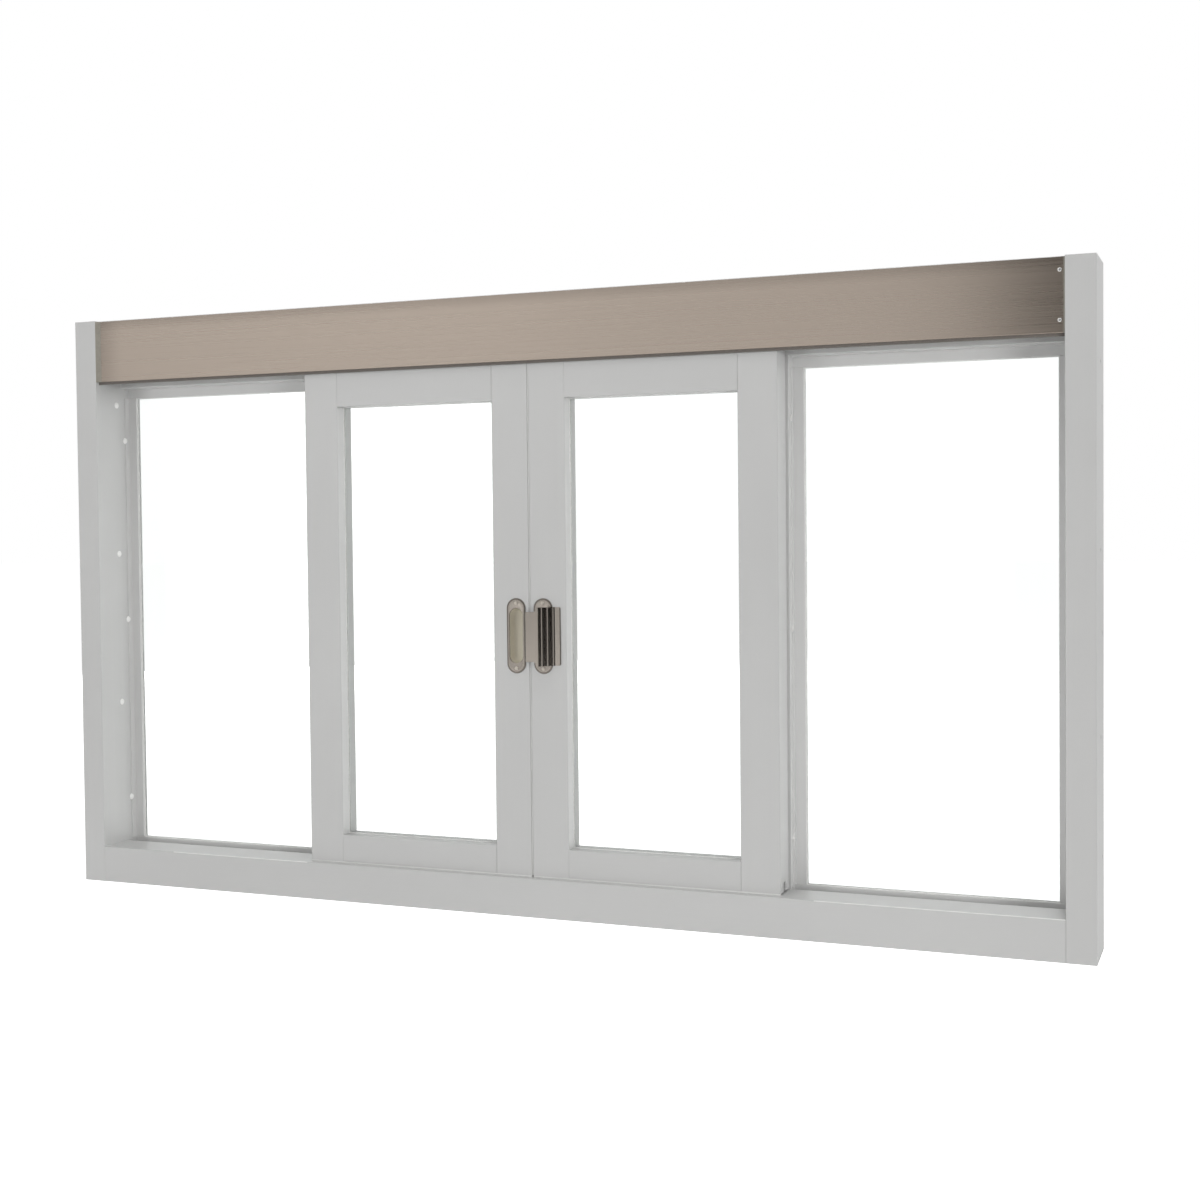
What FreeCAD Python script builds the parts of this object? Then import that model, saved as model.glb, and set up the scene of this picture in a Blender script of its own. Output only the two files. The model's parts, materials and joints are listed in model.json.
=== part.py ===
"""Centre-opening aluminium service window: fixed, sliding, sliding, fixed.

Two top-hung sashes meet in the middle of a deep extruded frame. Fixed lites
stand at the back of the frame on either side. A thin header cover hides the
track that carries the sashes. Millimetres; X runs along the window, the front
faces -Y, Z is up from the underside of the sill.
"""
import FreeCAD, Part
import math
import os

V = FreeCAD.Vector
EASE = -1

# Overall frame
frame_width = 2133.6
frame_height = 1219.2
rear_depth = 45.0
wall = 3.0
corner_ease = 0.8
jamb_face = 52.6
sill_height = 76.0
ledge_drop = 18.0

# Header behind its cover
head_drop = 139.2
top_plate = 4.0
cover_height = 130.0
cover_setback = 8.0
cover_sheet = 1.5
cover_return = 6.5
cover_top_gap = 1.5
cover_end_gap = 0.4
clip_leg = 16.0
clip_sheet = 2.0
clip_margin = 9.0

# Sashes
sash_setback = 17.6
sash_depth = 57.2
sash_wall = 2.5
stile_width = 76.2
top_rail_height = 76.2
bottom_rail_height = 55.0
sash_gap = 3.0
sash_lap = 2.3
meeting_gap = 3.2
sash_outer = 502.0

# Glass and its seals
glass_thickness = 6.0
glass_bite = 10.0
glass_edge_gap = 2.0
gasket_thickness = 1.6
gasket_lip = 1.2

# Fixed lites at the back of the frame
fin_thickness = 3.0
bead_height = 21.5
bead_thickness = 4.0
bead_leg = 14.0
bead_sheet = 2.0
seal_room = 7.2
mullion_width = 51.0
mullion_offset = 4.0

# Track under the head
track_thickness = 4.0
track_flange = 34.0
track_reach = 19.8
track_drop = 75.2
track_bend = 2.0
track_lip = 1.0
rib_radius = 3.0
rib_height = 4.0

# Rollers and hangers
wheel_radius = 19.0
groove_radius = 15.5
groove_floor = 4.0
wheel_width = 10.0
axle_radius = 4.0
axle_head_radius = 6.8
axle_head = 2.0
axle_washer = 3.0
axle_end = 2.0
hanger_plate = 4.0
hanger_width = 60.0
hanger_nose = 30.0
hanger_shoulder = 20.0
hanger_crown = 10.0
hanger_foot = 26.0
hanger_inset = 90.0
hanger_gap = 3.0
running_gap = 0.3
hub_gap = 0.3

# Bottom guide
guide_slot = 12.0
guide_slot_depth = 18.0
guide_fin = 10.0
guide_length = 46.0
guide_base = 26.0
guide_base_height = 2.0
guide_clear = 3.0
guide_inset = 6.0

# Weather seals
pile_width = 6.0
pile_inset = 16.0
seal_gap = 0.3
sweep_thickness = 4.0
sweep_drop = 5.5

# Oval flush pulls
pull_height = 148.0
pull_width = 40.0
pull_plate = 2.0
pull_chamfer = 1.0
pull_inset = 27.2
pull_rise = 472.0
cup_height = 108.0
cup_width = 28.0
cup_depth = 17.0
cup_wall = 1.5
pull_screw_radius = 2.4

# Projecting pull on the right sash
bar_height = 114.0
bar_sheet = 3.0
bar_standoff = 28.0
bar_base_gap = 2.7
bar_base_width = 14.0
bar_wing_reach = 1.2
bar_wing_lap = 25.3
bar_wing_height = 97.0
bar_shoulder = 8.0
bar_corner = 3.0
bar_bend = 4.0
bar_flutes = 3
bar_flute_width = 7.0
bar_flute_depth = 1.3

# Fixing holes through the jambs
anchor_radius = 4.0
anchors_per_row = 3
anchor_front_web_gap = 13.0
anchor_front_low = 386.5
anchor_front_top = 177.7
anchor_rear_web_gap = 15.0
anchor_rear_low = 171.5
anchor_rear_top = 254.7

# Places from front to back
sash_back = sash_setback + sash_depth
sash_middle = sash_setback + sash_depth / 2.0
mullion_front = sash_back + seal_room
frame_depth = mullion_front + rear_depth
fin_front = frame_depth - fin_thickness
glass_front = fin_front - glass_thickness - gasket_thickness
bead_front = glass_front - gasket_thickness - bead_thickness
track_web_depth = sash_middle + track_reach
pull_proud = bar_standoff + bar_sheet - sash_setback
half_depth = (frame_depth + pull_proud) / 2.0

# Places from the middle outwards
jamb_inner = frame_width / 2.0 - jamb_face
daylight_inner = meeting_gap / 2.0 + stile_width
daylight_outer = sash_outer - stile_width
mullion_outer = sash_outer + mullion_offset
mullion_inner = mullion_outer - mullion_width
pull_middle = meeting_gap / 2.0 + pull_inset

# Places from the bottom up
ledge = sill_height - ledge_drop
sash_bottom = sill_height + sash_gap
daylight_bottom = sash_bottom + bottom_rail_height
head_face = frame_height - top_plate
head_bottom = frame_height - head_drop
cover_bottom = frame_height - cover_top_gap - cover_height
sash_top = cover_bottom + sash_lap
daylight_top = sash_top - top_rail_height
track_shelf_z = head_face - track_drop
wheel_centre_z = track_shelf_z + track_thickness + rib_height + groove_radius + running_gap
pull_centre_z = sash_bottom + pull_rise


def y_at(depth):
    """Y of a plane that lies this far behind the frame's front face."""
    return depth + pull_proud - half_depth


def eased(points):
    """The same outline with each corner marked -1 cut off at a small slope."""
    out = []
    count = len(points)
    for i in range(count):
        if len(points[i]) < 3 or points[i][2] >= 0:
            out.append(points[i])
            continue
        here = V(points[i][0], points[i][1], 0)
        for other in (points[i - 1], points[(i + 1) % count]):
            cut = here + (V(other[0], other[1], 0) - here).normalize() * corner_ease
            out.append((cut.x, cut.y))
    return out


def wire(points):
    """Closed outline through 2D points; a third number rounds that corner.

    A third number of -1 eases the corner instead, as on a drawn edge.
    """
    points = eased(points)
    count = len(points)
    starts = []
    arcs = []
    for i in range(count):
        here = V(points[i][0], points[i][1], 0)
        radius = points[i][2] if len(points[i]) > 2 else 0
        if radius <= 0:
            starts.append((here, here))
            arcs.append(None)
            continue
        before = V(points[i - 1][0], points[i - 1][1], 0)
        after = V(points[(i + 1) % count][0], points[(i + 1) % count][1], 0)
        to_before = (before - here).normalize()
        to_after = (after - here).normalize()
        half = to_before.getAngle(to_after) / 2.0
        run = radius / math.tan(half)
        first = here + to_before * run
        last = here + to_after * run
        bisector = (to_before + to_after).normalize()
        middle = here + bisector * (radius / math.sin(half) - radius)
        starts.append((first, last))
        arcs.append(Part.Arc(first, middle, last).toShape())
    edges = []
    for i in range(count):
        if arcs[i] is not None:
            edges.append(arcs[i])
        leave = starts[i][1]
        arrive = starts[(i + 1) % count][0]
        if (arrive - leave).Length > 1e-6:
            edges.append(Part.LineSegment(leave, arrive).toShape())
    return Part.Wire(edges)


def box_points(u0, v0, u1, v1):
    """Corners of a rectangle."""
    return [(u0, v0), (u1, v0), (u1, v1), (u0, v1)]


def face_of(outer, holes=()):
    """Flat face inside one outline, less its holes."""
    face = Part.Face(wire(outer))
    for hole in holes:
        face = face.cut(Part.Face(wire(hole)))
    return face


def upright(outer, holes, z0, z1):
    """Extrusion that stands up: 2D points are X and depth behind the front."""
    shape = face_of(outer, holes).extrude(V(0, 0, z1 - z0))
    shape.translate(V(0, y_at(0), z0))
    return shape


def lying(outer, holes, x0, x1):
    """Extrusion that lies along X: 2D points are depth behind the front and Z."""
    shape = face_of(outer, holes).extrude(V(0, 0, x1 - x0))
    turn = FreeCAD.Rotation(V(0, 1, 0), V(0, 0, 1), V(1, 0, 0), "XYZ")
    shape.Placement = FreeCAD.Placement(V(x0, y_at(0), 0), turn)
    return shape


def facing(outer, d0, d1):
    """Extrusion from front to back: 2D points are X and Z."""
    shape = face_of(outer).extrude(V(0, 0, d1 - d0))
    shape.rotate(V(0, 0, 0), V(1, 0, 0), 90)
    shape.translate(V(0, y_at(d1), 0))
    return shape


def block(x0, x1, d0, d1, z0, z1):
    """Plain block between two X, two depths and two heights."""
    return Part.makeBox(x1 - x0, d1 - d0, z1 - z0, V(x0, y_at(d0), z0))


def stadium(width, height, d0, d1, cx, cz):
    """Oval plate with round ends, standing upright between two depths."""
    r = width / 2.0
    rise = height / 2.0 - r
    low = V(cx - r, 0, cz - rise)
    high = V(cx - r, 0, cz + rise)
    right_low = V(cx + r, 0, cz - rise)
    right_high = V(cx + r, 0, cz + rise)
    edges = [
        Part.LineSegment(low, high).toShape(),
        Part.Arc(high, V(cx, 0, cz + rise + r), right_high).toShape(),
        Part.LineSegment(right_high, right_low).toShape(),
        Part.Arc(right_low, V(cx, 0, cz - rise - r), low).toShape(),
    ]
    shape = Part.Face(Part.Wire(edges)).extrude(V(0, d1 - d0, 0))
    shape.translate(V(0, y_at(d0), 0))
    return shape


def across(radius, x, d0, d1, z):
    """Cylinder that runs from front to back."""
    return Part.makeCylinder(radius, d1 - d0, V(x, y_at(d0), z), V(0, 1, 0))


def sideways(radius, x0, x1, depth, z):
    """Cylinder that runs along X."""
    return Part.makeCylinder(radius, x1 - x0, V(x0, y_at(depth), z), V(1, 0, 0))


def mirrored(shape):
    """The same piece on the other side of the window's middle."""
    return shape.mirror(V(0, 0, 0), V(1, 0, 0))


def jamb():
    """Right jamb: a two-cell tube with the fin that backs the fixed glass.

    The fin is cut away where the sill and the head butt against the jamb.
    """
    outer_x = frame_width / 2.0
    r = EASE
    outline = [
        (jamb_inner, 0, r),
        (outer_x, 0, r),
        (outer_x, frame_depth, r),
        (jamb_inner - bead_height, frame_depth, r),
        (jamb_inner - bead_height, fin_front, r),
        (jamb_inner, fin_front),
    ]
    front_cell = box_points(jamb_inner + wall, wall, outer_x - wall, mullion_front - wall / 2.0)
    rear_cell = box_points(jamb_inner + wall, mullion_front + wall / 2.0, outer_x - wall,
                           frame_depth - wall)
    shape = upright(outline, [front_cell, rear_cell], 0, frame_height)
    for z0, z1 in ((-1, sill_height), (head_bottom - bead_height, frame_height + 1)):
        shape = shape.cut(block(jamb_inner - bead_height - 1, jamb_inner, fin_front - 1,
                                frame_depth + 1, z0, z1))
    for depth, z in anchor_places():
        shape = shape.cut(sideways(anchor_radius, jamb_inner - 1, outer_x + 1, depth, z))
    return shape


def anchor_places():
    """Depth and height of each fixing hole: two rows, staggered."""
    places = []
    for depth, low, high in (
            (mullion_front - anchor_front_web_gap, anchor_front_low,
             frame_height - anchor_front_top),
            (mullion_front + anchor_rear_web_gap, anchor_rear_low,
             frame_height - anchor_rear_top)):
        for i in range(anchors_per_row):
            places.append((depth, low + i * (high - low) / (anchors_per_row - 1)))
    return places


def sill():
    """Sill: a raised front cell for the sashes and a lower ledge for the fixed lites."""
    r = EASE
    outline = [
        (0, 0, r),
        (frame_depth, 0, r),
        (frame_depth, sill_height, r),
        (fin_front, sill_height, r),
        (fin_front, ledge),
        (mullion_front, ledge),
        (mullion_front, sill_height, r),
        (0, sill_height, r),
    ]
    front_cell = box_points(wall, wall, mullion_front - wall, sill_height - wall)
    rear_cell = box_points(mullion_front, wall, frame_depth - wall, ledge - wall)
    return lying(outline, [front_cell, rear_cell], -jamb_inner, jamb_inner)


def sill_infill():
    """Cap that fills the ledge between the mullions, level with the sill."""
    inner = [
        (mullion_front + bead_sheet, ledge),
        (fin_front - bead_sheet, ledge),
        (fin_front - bead_sheet, sill_height - bead_sheet),
        (mullion_front + bead_sheet, sill_height - bead_sheet),
    ]
    outline = [
        (mullion_front, ledge),
        inner[0],
        inner[3],
        inner[2],
        inner[1],
        (fin_front, ledge),
        (fin_front, sill_height),
        (mullion_front, sill_height),
    ]
    return lying(outline, [], -mullion_inner, mullion_inner)


def head():
    """Head: a rear box over the fixed lites and a top plate that carries the track."""
    r = EASE
    top = frame_height
    outline = [
        (cover_setback + cover_sheet, head_face),
        (mullion_front, head_face),
        (mullion_front, head_bottom, r),
        (fin_front, head_bottom),
        (fin_front, head_bottom - bead_height, r),
        (frame_depth, head_bottom - bead_height, r),
        (frame_depth, top, r),
        (cover_setback + cover_sheet, top, r),
    ]
    cell = box_points(mullion_front + wall, head_bottom + wall, frame_depth - wall, top - wall)
    return lying(outline, [cell], -jamb_inner, jamb_inner)


def header_cover():
    """Folded sheet in front of the track, with a return along its lower edge."""
    d0 = cover_setback
    top = frame_height - cover_top_gap
    t = cover_sheet
    outline = [
        (d0, cover_bottom, t),
        (d0 + cover_return, cover_bottom),
        (d0 + cover_return, cover_bottom + t),
        (d0 + t, cover_bottom + t),
        (d0 + t, top),
        (d0, top),
    ]
    return lying(outline, [], -jamb_inner + cover_end_gap, jamb_inner - cover_end_gap)


def cover_seal():
    """Dark pile sweep that hangs from the return of the header cover."""
    d1 = cover_setback + cover_return
    outline = [
        (d1 - sweep_thickness, cover_bottom - sweep_drop),
        (d1, cover_bottom - sweep_drop),
        (d1, cover_bottom),
        (d1 - sweep_thickness, cover_bottom),
    ]
    return lying(outline, [], -jamb_inner + cover_end_gap, jamb_inner - cover_end_gap)


def cover_clip():
    """Angle on the right jamb that the end of the header cover is screwed to."""
    front = cover_setback + cover_sheet
    outline = [
        (jamb_inner - clip_leg, front),
        (jamb_inner, front),
        (jamb_inner, front + clip_leg),
        (jamb_inner - clip_sheet, front + clip_leg),
        (jamb_inner - clip_sheet, front + clip_sheet),
        (jamb_inner - clip_leg, front + clip_sheet),
    ]
    return upright(outline, [], cover_bottom + clip_margin, head_face - clip_margin)


def mullion():
    """Right mullion: the post at the back between fixed lite and opening."""
    r = EASE
    outline = [
        (mullion_inner, mullion_front, r),
        (mullion_outer, mullion_front, r),
        (mullion_outer, fin_front),
        (mullion_outer + bead_height, fin_front, r),
        (mullion_outer + bead_height, frame_depth, r),
        (mullion_inner, frame_depth, r),
    ]
    cell = box_points(mullion_inner + wall, mullion_front + wall, mullion_outer - wall,
                      frame_depth - wall)
    shape = upright(outline, [cell], ledge, head_bottom)
    fin_notch = block(mullion_inner - 1, mullion_outer + bead_height + 1, fin_front,
                      frame_depth + 1, ledge - 1, sill_height)
    head_notch = block(mullion_inner - 1, mullion_outer + bead_height + 1, fin_front,
                       frame_depth + 1, head_bottom - bead_height, head_bottom + 1)
    return shape.cut(fin_notch).cut(head_notch)


def fixed_glass():
    """Right fixed pane, set back into the pocket between bead and fin on all sides."""
    reach = bead_height - glass_bite
    return block(mullion_outer + reach, jamb_inner - reach, glass_front,
                 glass_front + glass_thickness, ledge + reach, head_bottom - reach)


def ring(x0, x1, z0, z1, width, d0, d1):
    """Flat frame of one width between two depths."""
    outer = block(x0, x1, d0, d1, z0, z1)
    return outer.cut(block(x0 + width, x1 - width, d0 - 1, d1 + 1, z0 + width, z1 - width))


def fixed_gasket():
    """Two rubber frames, one each side of the right fixed pane."""
    x0 = mullion_outer + bead_height - glass_bite
    x1 = jamb_inner - bead_height + glass_bite
    z0 = ledge + bead_height - glass_bite
    z1 = head_bottom - bead_height + glass_bite
    width = glass_bite + gasket_lip
    glass_back = glass_front + glass_thickness
    front = ring(x0, x1, z0, z1, width, glass_front - gasket_thickness, glass_front)
    back = ring(x0, x1, z0, z1, width, glass_back, fin_front)
    return Part.makeCompound([front, back])


def bead_outline(root, side):
    """Angle-shaped bead, its root on one face and its nose pointing to one side."""
    back = bead_front + bead_thickness
    return [
        (root, bead_front - bead_leg),
        (root + side * bead_sheet, bead_front - bead_leg),
        (root + side * bead_sheet, bead_front),
        (root + side * bead_height, bead_front, EASE),
        (root + side * bead_height, back),
        (root, back),
    ]


def swapped(points):
    """The same outline with its depth first."""
    return [(p[1], p[0]) + tuple(p[2:]) for p in points]


def upright_bead(root, side):
    """Bead on a jamb or a mullion, between the sill and head beads."""
    return upright(bead_outline(root, side), [], ledge + bead_height, head_bottom - bead_height)


def lying_bead(root, side):
    """Bead on the sill ledge or under the head, from mullion to jamb."""
    return lying(swapped(bead_outline(root, side)), [], mullion_outer, jamb_inner)


def pocket():
    """Depths of the glass pocket in the sash members."""
    half = glass_thickness / 2.0 + gasket_thickness
    return sash_middle - half, sash_middle + half


def member_outline(low, high):
    """Sash member section from its plain edge (low) to its glass edge (high)."""
    d0, d1 = pocket()
    s = 1 if high > low else -1
    r = EASE
    t = sash_wall
    floor = high - s * (glass_bite + glass_edge_gap)
    outline = [
        (low, sash_setback, r),
        (high, sash_setback, r),
        (high, d0),
        (floor, d0),
        (floor, d1),
        (high, d1),
        (high, sash_back, r),
        (low, sash_back, r),
    ]
    cell = [
        (low + s * t, sash_setback + t),
        (high - s * t, sash_setback + t),
        (high - s * t, d0 - t),
        (floor - s * t, d0 - t),
        (floor - s * t, d1 + t),
        (high - s * t, d1 + t),
        (high - s * t, sash_back - t),
        (low + s * t, sash_back - t),
    ]
    return outline, cell


def meeting_stile():
    """Right meeting stile, cut out for the cup of its flush pull."""
    outline, cell = member_outline(meeting_gap / 2.0, daylight_inner)
    shape = upright(outline, [cell], sash_bottom, sash_top)
    hole = stadium(cup_width + 2 * cup_wall, cup_height + 2 * cup_wall, sash_setback - 1,
                   sash_setback + sash_wall + 1, pull_middle, pull_centre_z)
    return shape.cut(hole).cut(guide_groove(meeting_gap / 2.0 - 1, daylight_inner + 1))


def guide_groove(x0, x1):
    """Room under the sash for the fin of the guide."""
    half = guide_slot / 2.0
    return block(x0, x1, sash_middle - half, sash_middle + half, sash_bottom - 1,
                 sash_bottom + guide_slot_depth)


def outer_stile():
    """Right outer stile, which laps the mullion when the sash is shut."""
    outline, cell = member_outline(sash_outer, daylight_outer)
    shape = upright(outline, [cell], sash_bottom, sash_top)
    return shape.cut(guide_groove(daylight_outer - 1, sash_outer + 1))


def top_rail():
    """Right top rail, between the stiles."""
    outline, cell = member_outline(sash_top, daylight_top)
    return lying(swapped(outline), [swapped(cell)], daylight_inner, daylight_outer)


def bottom_rail():
    """Right bottom rail with the groove that runs over the guide."""
    outline, cell = member_outline(sash_bottom, daylight_bottom)
    t = sash_wall
    g0 = sash_middle - guide_slot / 2.0
    g1 = sash_middle + guide_slot / 2.0
    roof = sash_bottom + guide_slot_depth
    outline = [
        (sash_bottom, g0),
        (sash_bottom, sash_setback, EASE),
    ] + outline[1:-1] + [
        (sash_bottom, sash_back, EASE),
        (sash_bottom, g1),
        (roof, g1),
        (roof, g0),
    ]
    cell = [
        (sash_bottom + t, g0 - t),
        (sash_bottom + t, sash_setback + t),
    ] + cell[1:-1] + [
        (sash_bottom + t, sash_back - t),
        (sash_bottom + t, g1 + t),
        (roof + t, g1 + t),
        (roof + t, g0 - t),
    ]
    return lying(swapped(outline), [swapped(cell)], daylight_inner, daylight_outer)


def sash_glass():
    """Right sash pane, held in the pockets of all four members."""
    bite = glass_bite
    return block(daylight_inner - bite, daylight_outer + bite,
                 sash_middle - glass_thickness / 2.0, sash_middle + glass_thickness / 2.0,
                 daylight_bottom - bite, daylight_top + bite)


def sash_gasket():
    """Rubber frames that fill the pocket each side of the sash pane."""
    bite = glass_bite
    x0 = daylight_inner - bite
    x1 = daylight_outer + bite
    z0 = daylight_bottom - bite
    z1 = daylight_top + bite
    d0, d1 = pocket()
    width = bite + gasket_lip
    front = ring(x0, x1, z0, z1, width, d0, d0 + gasket_thickness)
    back = ring(x0, x1, z0, z1, width, d1 - gasket_thickness, d1)
    return Part.makeCompound([front, back])


def roller_track():
    """Track under the head: a flange, a web and a shelf with a round running rib."""
    t = track_thickness
    r = rib_radius
    front = sash_middle - r - track_lip
    shelf_top = track_shelf_z + t
    rib_top = shelf_top + rib_height
    flange_front = track_web_depth + t - track_flange
    crown = 0.98 * r
    outline = [
        (flange_front, head_face - t),
        (track_web_depth, head_face - t),
        (track_web_depth, shelf_top, track_bend),
        (sash_middle + r, shelf_top),
        (sash_middle + r, rib_top, crown),
        (sash_middle - r, rib_top, crown),
        (sash_middle - r, shelf_top),
        (front, shelf_top),
        (front, track_shelf_z),
        (track_web_depth + t, track_shelf_z, track_bend),
        (track_web_depth + t, head_face),
        (flange_front, head_face),
    ]
    return lying(outline, [], -jamb_inner, jamb_inner)


def hanger_places():
    """X of the two hangers on the right sash."""
    return (meeting_gap / 2.0 + hanger_inset, sash_outer - hanger_inset)


def hangers():
    """Two steel hangers on the right sash, each with its axle."""
    front = sash_middle - wheel_width / 2.0 - hanger_gap - hanger_plate
    half = hanger_width / 2.0
    nose = hanger_nose / 2.0
    crown_z = wheel_centre_z + hanger_crown
    shoulder_z = crown_z - hanger_shoulder
    pieces = []
    for x in hanger_places():
        foot = block(x - half, x + half, front, front + hanger_foot, sash_top,
                     sash_top + hanger_plate)
        plate = facing([
            (x - half, sash_top),
            (x + half, sash_top),
            (x + half, shoulder_z),
            (x + nose, crown_z),
            (x - nose, crown_z),
            (x - half, shoulder_z),
        ], front, front + hanger_plate)
        axle = across(axle_radius, x, front - axle_washer,
                      sash_middle + wheel_width / 2.0 + axle_end, wheel_centre_z)
        axle_cap = across(axle_head_radius, x, front - axle_washer - axle_head, front,
                          wheel_centre_z)
        pieces.append(foot.fuse(plate).fuse(axle).fuse(axle_cap).removeSplitter())
    return Part.makeCompound(pieces)


def rollers():
    """Two grooved wheels that run on the rib of the track."""
    pieces = []
    half = wheel_width / 2.0
    floor = groove_floor / 2.0
    bore = axle_radius + hub_gap
    for x in hanger_places():
        profile = wire([
            (bore, -half),
            (wheel_radius, -half),
            (groove_radius, -floor),
            (groove_radius, floor),
            (wheel_radius, half),
            (bore, half),
        ])
        wheel = Part.Face(profile).revolve(V(0, 0, 0), V(0, 1, 0), 360)
        wheel.translate(V(x, y_at(sash_middle), wheel_centre_z))
        pieces.append(wheel)
    return Part.makeCompound(pieces)


def sash_guide():
    """Nylon guide on the sill beside the right mullion, its fin in the rail's groove."""
    x1 = sash_outer - guide_inset
    x0 = x1 - guide_length
    base = block(x0, x1, sash_middle - guide_base / 2.0, sash_middle + guide_base / 2.0,
                 sill_height, sill_height + guide_base_height)
    fin = block(x0, x1, sash_middle - guide_fin / 2.0, sash_middle + guide_fin / 2.0,
                sill_height, sash_bottom + guide_slot_depth - guide_clear)
    return base.fuse(fin).removeSplitter()


def meeting_seal():
    """Pile strip down the right meeting stile's edge."""
    return block(seal_gap / 2.0, meeting_gap / 2.0, sash_middle - pile_width / 2.0,
                 sash_middle + pile_width / 2.0, sash_bottom, sash_top)


def mullion_seal():
    """Pile strip on the right mullion that the sash brushes against."""
    x0 = mullion_outer - pile_inset - pile_width
    return block(x0, x0 + pile_width, sash_back + seal_gap, mullion_front, sash_bottom,
                 head_bottom)


def flush_pull():
    """Oval flush pull on the right meeting stile: plate and cup in one casting."""
    front = sash_setback - pull_plate
    cx = pull_middle
    cz = pull_centre_z
    plate = stadium(pull_width, pull_height, front, sash_setback, cx, cz)
    rim = [e for e in plate.Edges if abs(e.BoundBox.YMin - y_at(front)) < 1e-6
           and abs(e.BoundBox.YMax - y_at(front)) < 1e-6]
    plate = plate.makeChamfer(pull_chamfer, rim)
    shell = stadium(cup_width + 2 * cup_wall, cup_height + 2 * cup_wall, sash_setback,
                    sash_setback + cup_depth, cx, cz)
    hollow = stadium(cup_width, cup_height, front - 1, sash_setback + cup_depth - cup_wall, cx, cz)
    shape = plate.fuse(shell).cut(hollow)
    for side in (-1, 1):
        z = cz + side * (pull_height + cup_height) / 4.0
        shape = shape.cut(across(pull_screw_radius, cx, front - 1, sash_setback + 1, z))
    return shape


def fluted(start, end):
    """Points along a straight face from start to end, with even shallow flutes."""
    run = end - start
    along = V(run).normalize()
    inwards = V(-along.y, along.x, 0)
    points = []
    for i in range(bar_flutes):
        middle = start + run * ((i + 0.5) / bar_flutes)
        for share, sink in ((-0.5, 0.0), (-0.25, 1.0), (0.25, 1.0), (0.5, 0.0)):
            p = middle + along * (share * bar_flute_width) + inwards * (sink * bar_flute_depth)
            points.append((p.x, p.y))
    return points


def pull_bar():
    """Bent pull that stands off the right meeting stile over the flush cup.

    Its slanting web is fluted for the fingers and taller than the wing.
    """
    t = bar_sheet
    face = sash_setback
    out = face - bar_standoff
    base_in = pull_middle + pull_width / 2.0 + bar_base_gap
    base_end = base_in + bar_base_width
    wing_in = pull_middle - bar_wing_lap
    wing_out = pull_middle + bar_wing_reach
    outer_bend = V(wing_out, out - t, 0)
    base_bend = V(base_in + t, face - t, 0)
    outline = [
        (base_end, face),
        (base_in, face, EASE),
        (wing_out - t, out, bar_bend),
        (wing_in, out, EASE),
        (wing_in, out - t, EASE),
        (outer_bend.x, outer_bend.y, EASE),
    ] + fluted(outer_bend, base_bend) + [
        (base_bend.x, base_bend.y),
        (base_end, face - t, EASE),
    ]
    low = pull_centre_z - bar_height / 2.0
    high = pull_centre_z + bar_height / 2.0
    wing_low = pull_centre_z - bar_wing_height / 2.0
    wing_high = pull_centre_z + bar_wing_height / 2.0
    shoulder = min(bar_shoulder, 0.9 * (high - wing_high))
    section = upright(outline, [], low, high)
    silhouette = facing([
        (wing_in, wing_low, bar_corner),
        (wing_out - t, wing_low, shoulder),
        (wing_out - t, low),
        (base_end, low, bar_corner),
        (base_end, high, bar_corner),
        (wing_out - t, high),
        (wing_out - t, wing_high, shoulder),
        (wing_in, wing_high, bar_corner),
    ], out - 2 * t, face + t)
    return section.common(silhouette)


def write(name, shape):
    """One file for one named piece."""
    shape.exportStep("parts/" + name + ".step")


def main():
    os.makedirs("parts", exist_ok=True)
    pairs = {
        "jamb": jamb(),
        "cover_clip": cover_clip(),
        "mullion": mullion(),
        "mullion_seal": mullion_seal(),
        "fixed_glass": fixed_glass(),
        "fixed_gasket": fixed_gasket(),
        "jamb_bead": upright_bead(jamb_inner, -1),
        "mullion_bead": upright_bead(mullion_outer, 1),
        "sill_bead": lying_bead(ledge, 1),
        "head_bead": lying_bead(head_bottom, -1),
        "outer_stile": outer_stile(),
        "meeting_stile": meeting_stile(),
        "top_rail": top_rail(),
        "bottom_rail": bottom_rail(),
        "sash_glass": sash_glass(),
        "sash_gasket": sash_gasket(),
        "meeting_seal": meeting_seal(),
        "hangers": hangers(),
        "rollers": rollers(),
        "sash_guide": sash_guide(),
        "flush_pull": flush_pull(),
    }
    for name, shape in pairs.items():
        write("right_" + name, shape)
        write("left_" + name, mirrored(shape))
    write("sill", sill())
    write("sill_infill", sill_infill())
    write("head", head())
    write("header_cover", header_cover())
    write("cover_seal", cover_seal())
    write("roller_track", roller_track())
    write("right_pull_bar", pull_bar())


main()
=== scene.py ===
"""Finishes, screws and studio for a centre-opening aluminium service window.

Metres. X runs along the window, the front faces -Y and Z is up from the
underside of the sill.
"""
import json
import math

import bmesh
import bpy
from mathutils import Matrix, Vector


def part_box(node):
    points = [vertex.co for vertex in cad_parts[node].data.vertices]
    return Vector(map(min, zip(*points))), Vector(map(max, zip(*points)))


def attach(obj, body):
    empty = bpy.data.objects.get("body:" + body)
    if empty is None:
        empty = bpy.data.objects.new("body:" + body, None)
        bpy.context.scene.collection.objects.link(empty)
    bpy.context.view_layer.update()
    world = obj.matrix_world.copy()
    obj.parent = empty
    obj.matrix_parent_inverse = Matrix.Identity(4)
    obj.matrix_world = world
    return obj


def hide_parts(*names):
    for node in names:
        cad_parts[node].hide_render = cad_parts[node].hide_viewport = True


bl_info = {
    "name": "Service window finish",
    "version": (1, 0, 0),
    "blender": (4, 5, 0),
    "location": "View3D > Sidebar > Window",
    "description": "Finishes, screws and studio for an aluminium sliding service window",
    "category": "Object",
}

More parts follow.
